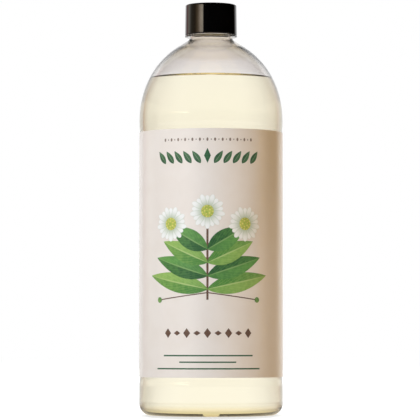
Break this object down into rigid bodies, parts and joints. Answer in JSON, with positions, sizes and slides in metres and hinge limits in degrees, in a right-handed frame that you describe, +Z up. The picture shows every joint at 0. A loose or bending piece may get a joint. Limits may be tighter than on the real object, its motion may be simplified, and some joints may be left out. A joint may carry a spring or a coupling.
{
  "type": "liquid hand soap refill bottle",
  "caption": "Tall clear round bottle filled with pale cream liquid soap, with a domed shoulder, a wrap-round label with a plain posy print and a smooth black screw cap.",
  "frame": {"origin": "middle of the standing ring, on the floor", "axes": "+Z up the bottle's axis towards the cap; the label's printed front faces -Y and its open seam faces +Y"},
  "size_m": [0.083, 0.083, 0.2376],
  "materials": {
    "clear_pet": "gloss",
    "soap": "gloss",
    "label_film": "satin",
    "foam": "matte",
    "black_cap": "gloss"
  },
  "bodies": {
    "bottle": {"bottle": "clear_pet", "liquid_soap": "soap", "label": "label_film"},
    "liner": {"cap_liner": "foam"},
    "cap": {"screw_cap": "black_cap"}
  },
  "joints": [
    {"name": "cap_lift", "type": "slide", "parent": "bottle", "child": "liner", "axis": [0, 0, 1], "range_m": [0, 0.0191]},
    {"name": "cap_turn", "type": "hinge", "parent": "liner", "child": "cap", "pos_m": [0, 0, 0.2285], "axis": [0, 0, 1], "range_deg": [0, 1620]}
  ],
  "couplings": [
    {"joint": "cap_lift", "follows": "cap_turn", "m_per_rad": 0.00067376}
  ]
}
